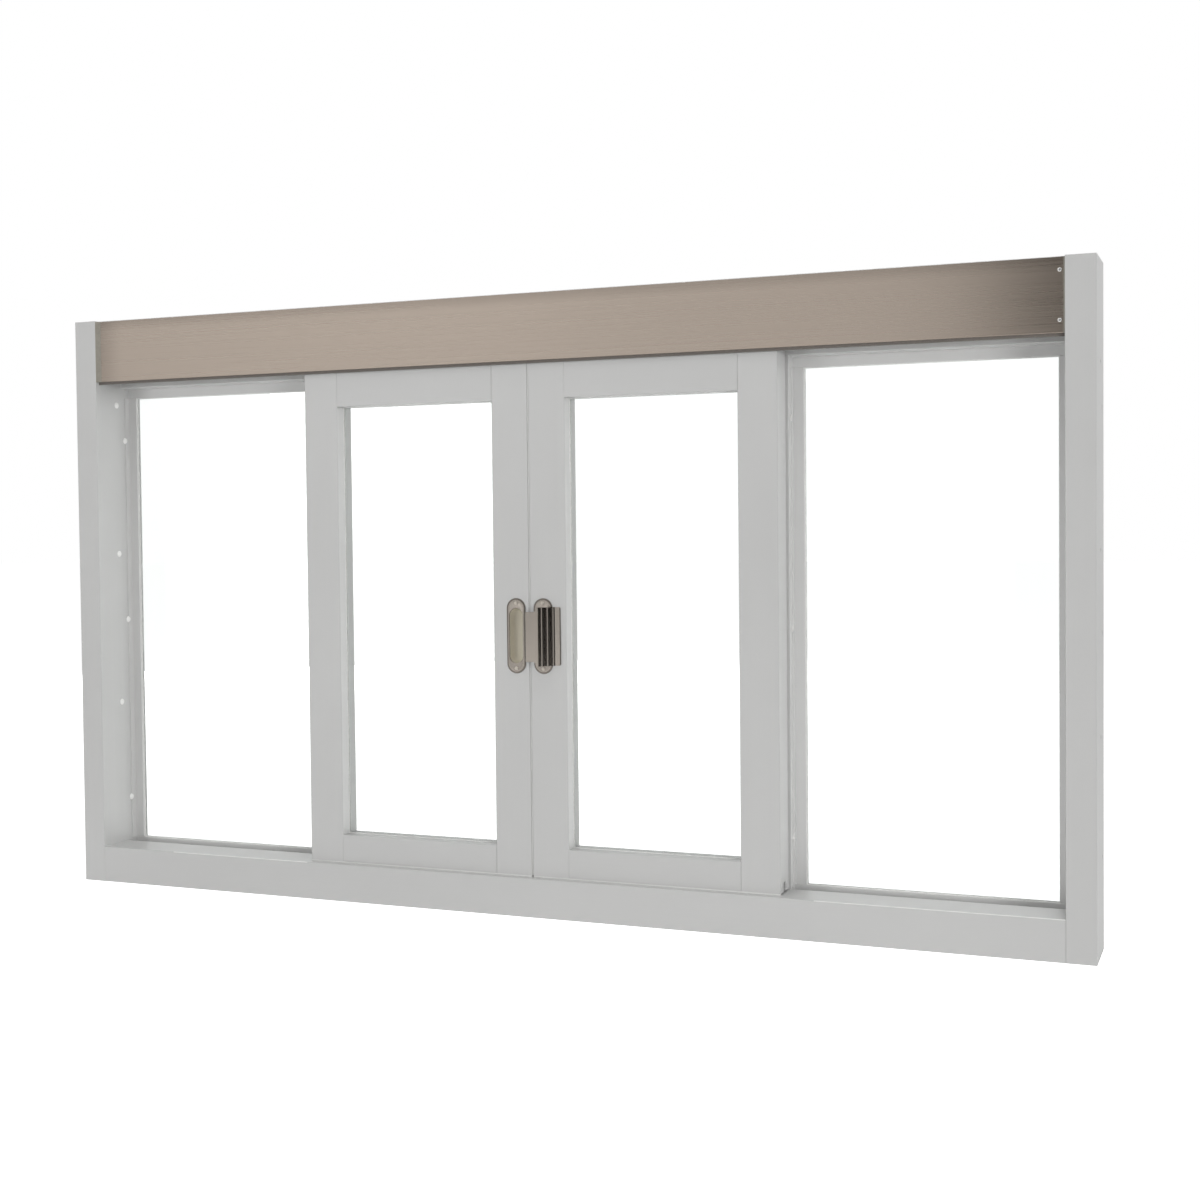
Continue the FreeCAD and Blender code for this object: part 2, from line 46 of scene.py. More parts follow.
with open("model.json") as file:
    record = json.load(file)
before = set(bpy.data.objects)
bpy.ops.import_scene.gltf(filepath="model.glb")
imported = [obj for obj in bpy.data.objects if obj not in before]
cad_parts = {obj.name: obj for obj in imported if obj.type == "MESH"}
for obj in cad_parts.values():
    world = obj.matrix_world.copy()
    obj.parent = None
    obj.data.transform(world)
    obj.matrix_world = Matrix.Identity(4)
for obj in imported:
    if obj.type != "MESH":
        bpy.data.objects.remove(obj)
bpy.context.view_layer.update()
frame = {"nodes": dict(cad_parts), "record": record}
MM = 0.001

# The part of a noise's range in which nearly all of its values lie
NOISE_LOW, NOISE_HIGH = 0.3, 0.7
# How square to an axis a face has to be before it counts as looking along it
NEARLY_SQUARE = 0.7
# Edges that meet at more than this stay sharp when a piece is shaded smooth
SHARP_ANGLE = math.radians(50)
# Steps round a small turned piece, and points round a flush pull
TURN_STEPS = 28
RING_POINTS = 64

# Profiles of small turned pieces as (share of radius, share of rise), bottom to top
CAP_PROFILE = (
    (0, 0), (1, 0), (1, 0.25), (0.92, 0.48), (0.74, 0.76), (0.42, 0.95), (0, 1))
SCREW_PROFILE = (
    (0, 0), (1, 0), (1, 0.38), (0.86, 0.74), (0.55, 0.97), (0, 1))
# Arm of a screw's cross as shares of the head's radius, and where it stands in its rise
CROSS_LENGTH, CROSS_WIDTH, CROSS_MIDDLE = 0.8, 0.17, 1.3

# Point that the lamps look at, and their names, places, sizes, settings for the power,
# and whether they are seen in reflections and through glass
LAMP_TARGET = (0, 0, 0.6)
LAMPS = (
    ("top_light", (0.2, -1.1, 4.6), 3.0, "top", False, True),
    ("key_light", (-2.6, -3.4, 3.4), 2.4, "key", True, True),
    ("right_light", (5.4, -4.2, 0.9), 2.4, "right", False, True),
    ("left_light", (-3.0, -5.0, 0.8), 1.5, "left", False, True),
    ("back_light", (-1.8, 3.6, 1.6), 2.4, "back", False, False),
    ("rear_light", (-3.4, 5.0, 1.2), 2.4, "rear", False, False),
)
# Names and opposite corners of the dark cards
FLAGS = (
    ("front_flag", (0.33, -4.3, -1.0), (1.6, -4.25, 5.0)),
    ("side_flag", (3.2, -2.6, 0.0), (3.25, -0.3, 1.3)),
)
SENSOR_WIDTH = 36.0


def linear(hex_colour):
    """Linear RGBA of an sRGB hex colour."""
    values = []
    for i in (1, 3, 5):
        c = int(hex_colour[i:i + 2], 16) / 255.0
        values.append(c / 12.92 if c <= 0.04045 else ((c + 0.055) / 1.055) ** 2.4)
    return (*values, 1.0)


def colour_property(name, description, hex_colour):
    """Colour setting that starts from an sRGB hex value."""
    return bpy.props.FloatVectorProperty(name=name, description=description, subtype="COLOR",
                                         size=4, min=0.0, max=1.0, default=linear(hex_colour))


def length_property(name, description, value):
    """Length setting in metres."""
    return bpy.props.FloatProperty(name=name, description=description, unit="LENGTH",
                                   subtype="DISTANCE", min=0.0, default=value)


class WindowFinish(bpy.types.PropertyGroup):
    """Colours and roughness of the window's own materials."""
    anodised: colour_property("Anodised aluminium", "Clear anodised frame and sashes", "#C0C0BF")
    # Painted light: a lighter copy of the anodised colour for the mullions, head and beads in the
    # frame's shade
    inner: colour_property("Inner aluminium", "Anodised mullions, head and beads", "#D3D3D2")
    # Painted highlight: the pale colour of the strips along the sill's front edge
    nose: colour_property("Nose", "Pale strips of painted highlight along the sill's front edge", "#E2E2E0")
    cover: colour_property("Cover sheet", "Brushed stainless header cover", "#A99D92")
    pull: colour_property("Pulls", "Satin nickel flush pulls and bar", "#9A938B")
    # Painted shade: the dark colour of the pulls' outer rims
    rim: colour_property("Pull rims", "Painted shade on the edge of the flush pulls", "#726C66")
    cup: colour_property("Cups", "Blasted inside of the flush pulls", "#CCC6B6")
    steel: colour_property("Cover screws", "Stainless screws of the cover", "#DCDCDA")
    nickel: colour_property("Pull screws", "Nickel-plated screws of the pulls", "#BDB6AC")
    zinc: colour_property("Hangers", "Zinc-plated hangers", "#B4B6B4")
    glass: colour_property("Glass", "Clear float glass", "#FDFFFE")
    gasket: colour_property("Gasket", "Glazing rubber", "#E8E8E6")
    pile: colour_property("Pile", "Woven pile weather strips of the sashes", "#CECECC")
    sweep: colour_property("Sweep", "Woven pile under the header cover", "#6A6560")
    bulb: colour_property("Bulb", "Vinyl seal between the meeting stiles", "#CACAC8")
    foot: colour_property("Foot seals", "Vinyl seals under the sashes", "#D6D6D4")
    # Painted shadow: the dark colour of the beads at the cover's ends
    sealant: colour_property("Shadow beads", "Dark bead painted as shadow at the ends of the cover", "#8A867D")
    cap: colour_property("Caps", "Nylon caps over the wall anchors", "#F2F2F0")
    plug: colour_property("Mullion caps", "Nylon caps over the mullions' fixings", "#D1D0CE")
    acetal: colour_property("Rollers", "Moulded acetal wheels", "#E4E1D8")
    nylon: colour_property("Guides", "Moulded nylon guides", "#C9C8C5")
    anodised_metallic: bpy.props.FloatProperty(
        name="Anodised metallic", description="Share of the metal that shows through the film",
        subtype="FACTOR", min=0.0, max=1.0, default=0.3)
    anodised_roughness: bpy.props.FloatProperty(
        name="Anodised roughness", description="Satin of the anodised film",
        subtype="FACTOR", min=0.0, max=1.0, default=0.46)
    # Painted light: how much the sill's top, the left jamb's inner face and the stiles' narrow
    # sides are lightened
    sill_top_painted_light: bpy.props.FloatProperty(
        name="Sill top painted light", description="How much lighter the sill's top is than its front",
        min=0.0, default=1.22)
    jamb_inner_painted_light: bpy.props.FloatProperty(
        name="Jamb inner painted light", description="How much lighter the left jamb's inner face is",
        min=0.0, default=1.14)
    stile_sides_painted_light: bpy.props.FloatProperty(
        name="Stile sides painted light", description="How much lighter the stiles' narrow sides are",
        min=0.0, default=1.12)
    cover_roughness: bpy.props.FloatProperty(
        name="Cover roughness", description="Roughness of the brushed sheet",
        subtype="FACTOR", min=0.0, max=1.0, default=0.29)


class WindowSeals(bpy.types.PropertyGroup):
    """Sizes of the glass edges, the seals, the dark beads of painted shadow and the sill's nose of
    painted highlight.
    """
    glass_play: length_property("Glass play", "Film of air between glass and gasket", 0.02 * MM)
    glass_arris: length_property("Glass arris", "Width of the ground edge of a pane", 0.6 * MM)
    bulb_width: length_property("Bulb width", "Width of the meeting bulb", 2.8 * MM)
    bulb_depth: length_property("Bulb depth", "Depth of the meeting bulb", 6 * MM)
    bulb_inset: length_property("Bulb inset", "From the stiles' face to the bulb", 0.8 * MM)
    foot_inset: length_property("Foot inset", "From the sash's face to its foot seal", 0.4 * MM)
    foot_depth: length_property("Foot depth", "Thickness of a foot seal", 4 * MM)
    foot_play: length_property("Foot play", "Between a foot seal and the sill", 0.15 * MM)
    # The sill's nose is a strip of painted highlight along its front edge
    left_nose_gap: length_property("Left nose gap", "From the left jamb to the nose", 180 * MM)
    right_nose_gap: length_property("Right nose gap", "From the right sash to the nose", 67 * MM)
    nose_depth: length_property("Nose depth", "Depth of the sill's burnished nose", 3 * MM)
    nose_height: length_property("Nose height", "Height of the sill's burnished nose", 1.6 * MM)
    nose_proud: length_property("Nose proud", "How far the nose stands out", 0.1 * MM)
    left_bead: length_property("Left bead", "Width of the bead at the cover's left end", 9 * MM)
    right_bead: length_property("Right bead", "Width of the bead at its right end", 3.6 * MM)


class WindowScrews(bpy.types.PropertyGroup):
    """Sizes of the screw heads and caps that show."""
    cap_width: length_property("Cap width", "Width of an anchor's cap", 13.4 * MM)
    cap_rise: length_property("Cap rise", "Height of an anchor's cap", 2.8 * MM)
    cover_head: length_property("Cover head", "Width of a cover screw's head", 8 * MM)
    cover_rise: length_property("Cover rise", "Height of a cover screw's head", 2.6 * MM)
    cover_end: length_property("Cover screw inset", "From the cover's end to the screw", 8.5 * MM)
    cover_edge: length_property("Cover screw edge", "From the cover's edge to the screw", 22 * MM)
    pull_head: length_property("Pull head", "Width of a pull screw's raised head", 7.4 * MM)
    pull_rise: length_property("Pull rise", "Height of a pull screw's raised head", 1.3 * MM)
    pull_spacing: length_property("Pull spacing", "Between a pull's two screws", 128 * MM)


class WindowStudio(bpy.types.PropertyGroup):
    """Camera, lights and floor."""
    camera_place: bpy.props.FloatVectorProperty(
        name="Camera place", description="Where the camera stands", subtype="TRANSLATION",
        unit="LENGTH", size=3, default=(1.33372, -3.04016, 0.76464))
    camera_yaw: bpy.props.FloatProperty(
        name="Camera yaw", description="Turn to the left from straight ahead", unit="ROTATION",
        subtype="ANGLE", default=math.radians(22.24))
    camera_pitch: bpy.props.FloatProperty(
        name="Camera pitch", description="Tilt below the horizon", unit="ROTATION",
        subtype="ANGLE", default=math.radians(1.76))
    camera_roll: bpy.props.FloatProperty(
        name="Camera roll", description="Turn about the line of sight", unit="ROTATION",
        subtype="ANGLE", default=math.radians(-0.60))
    lens: bpy.props.FloatProperty(
        name="Lens", description="Focal length for a 36 mm wide sensor", unit="CAMERA",
        min=1.0, default=50.377)
    shift: bpy.props.FloatVectorProperty(
        name="Shift", description="Sideways and upward shift of the picture", size=2,
        default=(0.01684, -0.01848))
    sky: bpy.props.FloatProperty(
        name="Sky", description="Strength of the even light on matt surfaces", min=0.0,
        default=0.25)
    backdrop: bpy.props.FloatProperty(
        name="Backdrop", description="Strength of the white seen through the glass", min=0.0,
        default=1.07)
    floor_seen: bpy.props.FloatProperty(
        name="Floor glow", description="White added to the floor for the camera", min=0.0,
        default=0.8)
    floor_through: bpy.props.FloatProperty(
        name="Floor glow through glass",
        description="White added to the mirrored floor glow where glass is looked through",
        min=0.0, default=0.34)
    floor_mirrored: bpy.props.FloatProperty(
        name="Mirrored floor glow", description="White added to the floor in reflections",
        min=0.0, default=0.5)
    top: bpy.props.FloatProperty(
        name="Top light", description="Power of the light high in front of the window",
        unit="POWER", min=0.0, default=60.0)
    key: bpy.props.FloatProperty(
        name="Key light", description="Power of the high light from the left", unit="POWER",
        min=0.0, default=8.0)
    right: bpy.props.FloatProperty(
        name="Right light", description="Power of the low light far to the right",
        unit="POWER", min=0.0, default=265.0)
    left: bpy.props.FloatProperty(
        name="Left light", description="Power of the low light far to the left",
        unit="POWER", min=0.0, default=62.0)
    back: bpy.props.FloatProperty(
        name="Back light", description="Power of the high light behind the window",
        unit="POWER", min=0.0, default=12.0)
    rear: bpy.props.FloatProperty(
        name="Rear light", description="Power of the low light behind the window",
        unit="POWER", min=0.0, default=170.0)
    floor: length_property("Floor size", "Side of the square floor", 60.0)


def add_node(tree, kind, settings=None, inputs=None):
    """One node with its settings, and its inputs set or linked."""
    node = tree.nodes.new(kind)
    for name, value in (settings or {}).items():
        setattr(node, name, value)
    for name, value in (inputs or {}).items():
        if isinstance(value, bpy.types.NodeSocket):
            tree.links.new(value, node.inputs[name])
        else:
            node.inputs[name].default_value = value
    return node


def new_material(name):
    """Empty node material with its output, and the tree to build it in."""
    material = bpy.data.materials.new(name)
    material.use_nodes = True
    tree = material.node_tree
    tree.nodes.clear()
    return material, tree, tree.nodes.new("ShaderNodeOutputMaterial")


def grain_noise(tree, grain):
    """Noise drawn out along one axis; grain is (spacing across, length along, axis)."""
    spacing, length, along = grain
    scale = [1.0 / spacing] * 3
    scale["XYZ".index(along)] = 1.0 / length
    place = add_node(tree, "ShaderNodeTexCoord")
    mapping = add_node(tree, "ShaderNodeMapping", inputs={
        "Vector": place.outputs["Object"], "Scale": scale})
    return add_node(tree, "ShaderNodeTexNoise", inputs={
        "Vector": mapping.outputs["Vector"], "Scale": 1.0, "Detail": 3.0}).outputs["Fac"]


def grained_material(name, grain, colour, tint, roughness, relief, cloud=None, shade=None,
                     **sockets):
    """Material whose roughness and relief follow a grain, and its tint a broader cloud.

    tint and roughness are (low, high), relief is (height in metres, strength), shade
    builds a number that scales the colour as painted light or painted shade, and the rest are the
    shader's own sockets.
    """
    material, tree, output = new_material(name)
    lines = grain_noise(tree, grain)
    ramp = add_node(tree, "ShaderNodeValToRGB", inputs={
        "Fac": grain_noise(tree, cloud) if cloud else lines})
    for element, share, place in zip(ramp.color_ramp.elements, tint,
                                     (NOISE_LOW, NOISE_HIGH)):
        element.position = place
        element.color = (*[min(1.0, c * share) for c in colour[:3]], 1.0)
    tone = ramp.outputs["Color"]
    if shade:
        tone = add_node(tree, "ShaderNodeVectorMath", {"operation": "SCALE"}, {
            "Vector": tone, "Scale": shade(tree)}).outputs["Vector"]
    spread = add_node(tree, "ShaderNodeMapRange", inputs={
        "Value": lines, "From Min": NOISE_LOW, "From Max": NOISE_HIGH,
        "To Min": roughness[0], "To Max": roughness[1]})
    bump = add_node(tree, "ShaderNodeBump", inputs={
        "Height": lines, "Distance": relief[0], "Strength": relief[1]})
    shader = add_node(tree, "ShaderNodeBsdfPrincipled", inputs={
        "Base Color": tone, "Roughness": spread.outputs["Result"],
        "Normal": bump.outputs["Normal"], **sockets})
    tree.links.new(shader.outputs["BSDF"], output.inputs["Surface"])
    return material


def anodised_aluminium(finish, colour, name, along, shade=None):
    """Aluminium, extruded and clear anodised: a soft grey satin with faint die lines.

    Real die lines are about 0.3 mm apart; they are drawn 3 mm apart so that they show.
    """
    rough = finish.anodised_roughness
    return grained_material(
        name, (3 * MM, 900 * MM, along), colour, (0.975, 1.02), (rough - 0.04, rough + 0.05),
        (0.02 * MM, 0.5), cloud=(220 * MM, 500 * MM, along), shade=shade,
        Metallic=finish.anodised_metallic)


def painted_light_faces(axis, gain):
    """Painted light: lightens the faces square to an axis beyond what the lamps give them."""
    def shade(tree):
        surface = add_node(tree, "ShaderNodeNewGeometry")
        axes = add_node(tree, "ShaderNodeSeparateXYZ", inputs={
            "Vector": surface.outputs["Normal"]})
        square = add_node(tree, "ShaderNodeMath", {"operation": "ABSOLUTE"}, {
            0: axes.outputs[axis]})
        return add_node(tree, "ShaderNodeMapRange", inputs={
            "Value": square.outputs["Value"], "From Min": NEARLY_SQUARE, "From Max": 1.0,
            "To Min": 1.0, "To Max": gain}).outputs["Result"]
    return shade


def painted_edge_shade(tree):
    """Painted shade: darkens the cover's sheet a little towards its left end and its top edge."""
    end_width, end_share = 70 * MM, 0.76
    top_width, top_share = 26 * MM, 0.8
    low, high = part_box("header_cover")
    place = add_node(tree, "ShaderNodeTexCoord")
    axes = add_node(tree, "ShaderNodeSeparateXYZ", inputs={"Vector": place.outputs["Object"]})
    end = add_node(tree, "ShaderNodeMapRange", {"interpolation_type": "SMOOTHSTEP"}, {
        "Value": axes.outputs["X"], "From Min": low.x, "From Max": low.x + end_width,
        "To Min": end_share, "To Max": 1.0})
    top = add_node(tree, "ShaderNodeMapRange", {"interpolation_type": "SMOOTHSTEP"}, {
        "Value": axes.outputs["Z"], "From Min": high.z - top_width, "From Max": high.z,
        "To Min": 1.0, "To Max": top_share})
    return add_node(tree, "ShaderNodeMath", {"operation": "MULTIPLY"}, {
        0: end.outputs["Result"], 1: top.outputs["Result"]}).outputs["Value"]


def brushed_stainless(finish):
    """Stainless sheet, belt brushed along its length: warm grey with fine long strokes.

    Real strokes are about 0.2 mm apart; they are drawn 1.4 mm apart so that they show.
    """
    rough = finish.cover_roughness
    # The sheet's colour carries painted shade towards its left end and its top edge
    return grained_material(
        "brushed_stainless_sheet", (1.4 * MM, 1500 * MM, "X"), finish.cover, (0.975, 1.025),
        (rough - 0.03, rough + 0.03), (0.004 * MM, 0.4), shade=painted_edge_shade,
        **{"Metallic": 1.0, "Anisotropic": 0.8, "Anisotropic Rotation": 0.25})


def satin_nickel(name, colour):
    """Satin nickel plate, brushed upright: a soft dark mirror with fine vertical lines.

    Real lines are about 0.1 mm apart; they are drawn 0.5 mm apart so that they show.
    """
    return grained_material(
        name, (0.5 * MM, 70 * MM, "Z"), colour, (0.95, 1.04), (0.15, 0.21),
        (0.005 * MM, 0.5), Metallic=1.0)


def blasted_nickel(finish):
    """Nickel plate over a bead-blasted casting: a dull, slightly olive grey that spreads light.

    Real blast marks are about 0.1 mm wide; they are drawn 0.6 mm wide so that they show.
    """
    return grained_material(
        "blasted_nickel_plate", (0.6 * MM, 20 * MM, "Z"), finish.cup, (0.93, 1.06),
        (0.5, 0.6), (0.02 * MM, 0.5), Metallic=0.3)


def cold_formed_steel(name, colour, roughness):
    """Steel, cold formed and plated or passivated: an even sheen broken by a fine grain."""
    return grained_material(
        name, (1.5 * MM, 1.5 * MM, "X"), colour, (0.95, 1.04),
        (roughness - 0.05, roughness + 0.05), (0.01 * MM, 0.5), Metallic=1.0)


def float_glass(finish):
    """Soda-lime glass, floated and polished: clear, with a faint green in its thickness."""
    material, tree, output = new_material("clear_float_glass")
    waves = grain_noise(tree, (300 * MM, 700 * MM, "Z"))
    bump = add_node(tree, "ShaderNodeBump", inputs={
        "Height": waves, "Distance": 0.05 * MM, "Strength": 0.2})
    shader = add_node(tree, "ShaderNodeBsdfPrincipled", inputs={
        "Base Color": finish.glass, "Roughness": 0.0, "IOR": 1.52,
        "Transmission Weight": 1.0, "Normal": bump.outputs["Normal"]})
    tree.links.new(shader.outputs["BSDF"], output.inputs["Surface"])
    return material


def extruded_rubber(name, colour):
    """Glazing rubber, extruded: grey and dull, with a slight bloom on its skin. Also the dark
    beads of painted shadow at the cover's ends.
    """
    return grained_material(
        name, (6 * MM, 6 * MM, "X"), colour, (0.92, 1.06), (0.7, 0.85), (0.05 * MM, 0.4),
        IOR=1.5)


def woven_pile(name, colour):
    """Polypropylene pile, woven and cut: short dull hairs that scatter the light.

    Real hairs are about 0.1 mm thick; they are drawn 0.8 mm thick so that they show.
    """
    return grained_material(
        name, (0.8 * MM, 4 * MM, "Z"), colour, (0.7, 1.15), (0.9, 0.98), (0.4 * MM, 0.7),
        **{"IOR": 1.45, "Sheen Weight": 0.25, "Sheen Roughness": 0.5})


def moulded_plastic(name, colour, roughness):
    """Engineering plastic, injection moulded: a soft even sheen with a faint spark texture."""
    return grained_material(
        name, (0.9 * MM, 0.9 * MM, "X"), colour, (0.97, 1.02),
        (roughness - 0.05, roughness + 0.08), (0.03 * MM, 0.4), IOR=1.48)


def paint_node(name, material):
    """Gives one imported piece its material."""
    piece = frame["nodes"][name]
    piece.data.materials.clear()
    piece.data.materials.append(material)


def paint_nodes(endings, material):
    """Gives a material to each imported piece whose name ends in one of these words."""
    for name in frame["nodes"]:
        if name.endswith(tuple(endings)):
            paint_node(name, material)


def turned_mesh(name, profile, width, rise):
    """Mesh of a closed turned piece, its seat at the origin and its crown up +Z."""
    radius = width / 2.0
    shape = bmesh.new()
    points = [shape.verts.new((out * radius, 0, up * rise)) for out, up in profile]
    edges = [shape.edges.new(pair) for pair in zip(points, points[1:])]
    bmesh.ops.spin(shape, geom=points + edges, cent=(0, 0, 0), axis=(0, 0, 1),
                   angle=math.tau, steps=TURN_STEPS, use_merge=True)
    bmesh.ops.remove_doubles(shape, verts=shape.verts, dist=1e-6)
    bmesh.ops.recalc_face_normals(shape, faces=shape.faces)
    mesh = bpy.data.meshes.new(name)
    shape.to_mesh(mesh)
    shape.free()
    return mesh


def screw_head(width, rise):
    """Pan head, its seat at the origin and its crown up +Z, with a cross-shaped recess."""
    radius = width / 2.0
    head = bpy.data.objects.new(
        "screw_head", turned_mesh("screw_head", SCREW_PROFILE, width, rise))
    bpy.context.scene.collection.objects.link(head)
    cross = bmesh.new()
    for turn in (0.0, math.pi / 2.0):
        bar = bmesh.ops.create_cube(cross, size=1.0)["verts"]
        bmesh.ops.scale(cross, vec=(radius * CROSS_LENGTH, radius * CROSS_WIDTH, rise),
                        verts=bar)
        bmesh.ops.translate(cross, vec=(0, 0, rise * CROSS_MIDDLE), verts=bar)
        bmesh.ops.rotate(cross, cent=(0, 0, 0), matrix=Matrix.Rotation(turn, 3, "Z"), verts=bar)
    cutter = as_object(cross, "screw_cross")
    cut = head.modifiers.new("recess", "BOOLEAN")
    cut.operation = "DIFFERENCE"
    cut.solver = "EXACT"
    cut.use_self = True
    cut.object = cutter
    bpy.context.view_layer.update()
    evaluated = head.evaluated_get(bpy.context.evaluated_depsgraph_get())
    mesh = bpy.data.meshes.new_from_object(evaluated)
    for tool in (head, cutter):
        bpy.data.objects.remove(tool)
    return mesh


def as_object(shape, name):
    """Mesh object at the origin from a finished bmesh."""
    mesh = bpy.data.meshes.new(name)
    shape.to_mesh(mesh)
    shape.free()
    piece = bpy.data.objects.new(name, mesh)
    bpy.context.scene.collection.objects.link(piece)
    return piece


def placed_copies(name, mesh, places, material):
    """Adds one piece that joins a copy of the mesh at each place, a (point, way up)."""
    joined = bmesh.new()
    for point, way in places:
        turn = Vector((0, 0, 1)).rotation_difference(Vector(way)).to_matrix().to_4x4()
        mesh_copy = mesh.copy()
        mesh_copy.transform(Matrix.Translation(Vector(point)) @ turn)
        joined.from_mesh(mesh_copy)
        bpy.data.meshes.remove(mesh_copy)
    piece = as_object(joined, name)
    piece.data.materials.append(material)
    finish_piece(piece)


def shade_rounded(piece):
    """Shades a piece smooth over its rounded edges and leaves its corners sharp."""
    piece.data.shade_smooth()
    piece.data.set_sharp_from_angle(angle=SHARP_ANGLE)


def finish_piece(piece):
    """Puts a new piece on the window's body."""
    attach(piece, "root")


class WINDOW_OT_aluminium(bpy.types.Operator):
    """Finishes the frame and the sashes in clear anodised aluminium."""
    bl_idname = "window.aluminium"
    bl_label = "Anodise Frame and Sashes"

    def execute(self, context):
        finish = context.scene.window_finish
        outer, inner = finish.anodised, finish.inner
        for name, colour, along, shade, endings in (
                ("anodised_aluminium_z", outer, "Z", None, ("right_jamb",)),
                # Painted light: the left jamb's inner face, the stiles' narrow sides and the
                # sill's top are lightened by direction
                ("anodised_aluminium_left_jamb", outer, "Z",
                 painted_light_faces("X", finish.jamb_inner_painted_light), ("left_jamb",)),
                ("anodised_aluminium_stile", outer, "Z",
                 painted_light_faces("X", finish.stile_sides_painted_light), ("stile",)),
                ("anodised_aluminium_x", outer, "X", None,
                 ("infill", "track", "rail", "cover_clip")),
                ("anodised_aluminium_sill", outer, "X",
                 painted_light_faces("Z", finish.sill_top_painted_light), ("sill",)),
                # Painted light: the recessed mullions, head and beads take a lighter copy of the
                # anodised colour
                ("anodised_inner_aluminium_z", inner, "Z", None,
                 ("mullion", "jamb_bead", "mullion_bead")),
                ("anodised_inner_aluminium_x", inner, "X", None,
                 ("head", "head_bead", "sill_bead"))):
            paint_nodes(endings, anodised_aluminium(finish, colour, name, along, shade))
        return {"FINISHED"}


class WINDOW_OT_cover(bpy.types.Operator):
    """Finishes the header cover in brushed stainless sheet."""
    bl_idname = "window.cover"
    bl_label = "Brush Header Cover"

    def execute(self, context):
        paint_node("header_cover", brushed_stainless(context.scene.window_finish))
        return {"FINISHED"}


def fill_box(shape, low, high):
    """Adds a box between two opposite corners to a bmesh."""
    corners = bmesh.ops.create_cube(shape, size=1.0)["verts"]
    bmesh.ops.scale(shape, vec=high - low, verts=corners)
    bmesh.ops.translate(shape, vec=(high + low) / 2.0, verts=corners)


def eased_block(name, low, high, width, segments):
    """Block between two corners with all of its edges rounded by the same width."""
    shape = bmesh.new()
    fill_box(shape, low, high)
    bmesh.ops.bevel(shape, geom=shape.edges[:], offset=width, offset_type="OFFSET",
                    affect="EDGES", segments=segments, profile=0.5, material=-1)
    return as_object(shape, name)


class WINDOW_OT_glass(bpy.types.Operator):
    """Glazes the window with ground-edged panes and finishes the gaskets."""
    bl_idname = "window.glass"
    bl_label = "Glaze Window"

    def execute(self, context):
        finish = context.scene.window_finish
        seals = context.scene.window_seals
        glass = float_glass(finish)
        play = Vector((0, seals.glass_play, 0))
        for node in ("left_fixed_glass", "left_sash_glass", "right_sash_glass",
                     "right_fixed_glass"):
            low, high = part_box(node)
            pane = eased_block(node.replace("glass", "pane"), low + play, high - play,
                               seals.glass_arris, 1)
            pane.data.materials.append(glass)
            finish_piece(pane)
            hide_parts(node)
        paint_nodes(("gasket",), extruded_rubber("extruded_glazing_rubber", finish.gasket))
        return {"FINISHED"}


class WINDOW_OT_vinyl_seals(bpy.types.Operator):
    """Adds the light vinyl seals between the meeting stiles and under the sashes."""
    bl_idname = "window.vinyl_seals"
    bl_label = "Fit Vinyl Seals"

    def execute(self, context):
        seals = context.scene.window_seals
        finish = context.scene.window_finish
        grey = moulded_plastic("extruded_grey_vinyl", finish.bulb, 0.5)
        pale = moulded_plastic("extruded_pale_vinyl", finish.foot, 0.5)
        low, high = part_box("left_meeting_stile")
        front = low.y + seals.bulb_inset
        half = seals.bulb_width / 2.0
        nearly_round = half * 0.9
        blocks = [("meeting_bulb", Vector((-half, front, low.z)),
                   Vector((half, front + seals.bulb_depth, high.z)), nearly_round, grey)]
        sill_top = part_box("sill")[1].z
        for side in ("left", "right"):
            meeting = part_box(side + "_meeting_stile")
            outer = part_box(side + "_outer_stile")
            west = min(meeting[0].x, outer[0].x) + seals.foot_inset
            east = max(meeting[1].x, outer[1].x) - seals.foot_inset
            front = low.y + seals.foot_inset
            blocks.append((side + "_foot_seal", Vector((west, front, sill_top + seals.foot_play)),
                           Vector((east, front + seals.foot_depth, low.z)), seals.foot_play,
                           pale))
        for name, corner, opposite, ease, vinyl in blocks:
            seal = eased_block(name, corner, opposite, ease, 4)
            shade_rounded(seal)
            seal.data.materials.append(vinyl)
            finish_piece(seal)
        return {"FINISHED"}


class WINDOW_OT_sill_nose(bpy.types.Operator):
    """Adds pale strips along the sill's front edge beside the sashes: a painted highlight."""
    bl_idname = "window.sill_nose"
    bl_label = "Burnish Sill Nose"

    def execute(self, context):
        finish = context.scene.window_finish
        seals = context.scene.window_seals
        low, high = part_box("sill")
        proud = seals.nose_proud
        ease = seals.nose_height * 0.4
        highlighted = anodised_aluminium(finish, finish.nose, "burnished_aluminium_nose", "X")
        left_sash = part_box("left_outer_stile")[0].x
        right_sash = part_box("right_outer_stile")[1].x
        for name, west, east in (
                ("left_sill_nose", low.x + seals.left_nose_gap, left_sash),
                ("right_sill_nose", right_sash + seals.right_nose_gap, high.x)):
            nose = eased_block(name, Vector((west, low.y - proud, high.z - seals.nose_height)),
                               Vector((east, low.y + seals.nose_depth, high.z + proud)),
                               ease, 3)
            shade_rounded(nose)
            nose.data.materials.append(highlighted)
            finish_piece(nose)
        return {"FINISHED"}


def corner_bead(name, corner, across, forwards, height):
    """Upright fillet in an inside corner."""
    shape = bmesh.new()
    section = shape.faces.new([shape.verts.new(corner + Vector(step)) for step in (
        (0, 0, 0), (across, 0, 0), (0, forwards, 0))])
    grown = bmesh.ops.extrude_face_region(shape, geom=[section])["geom"]
    bmesh.ops.translate(shape, vec=(0, 0, height),
                        verts=[v for v in grown if isinstance(v, bmesh.types.BMVert)])
    bmesh.ops.recalc_face_normals(shape, faces=shape.faces)
    return as_object(shape, name)


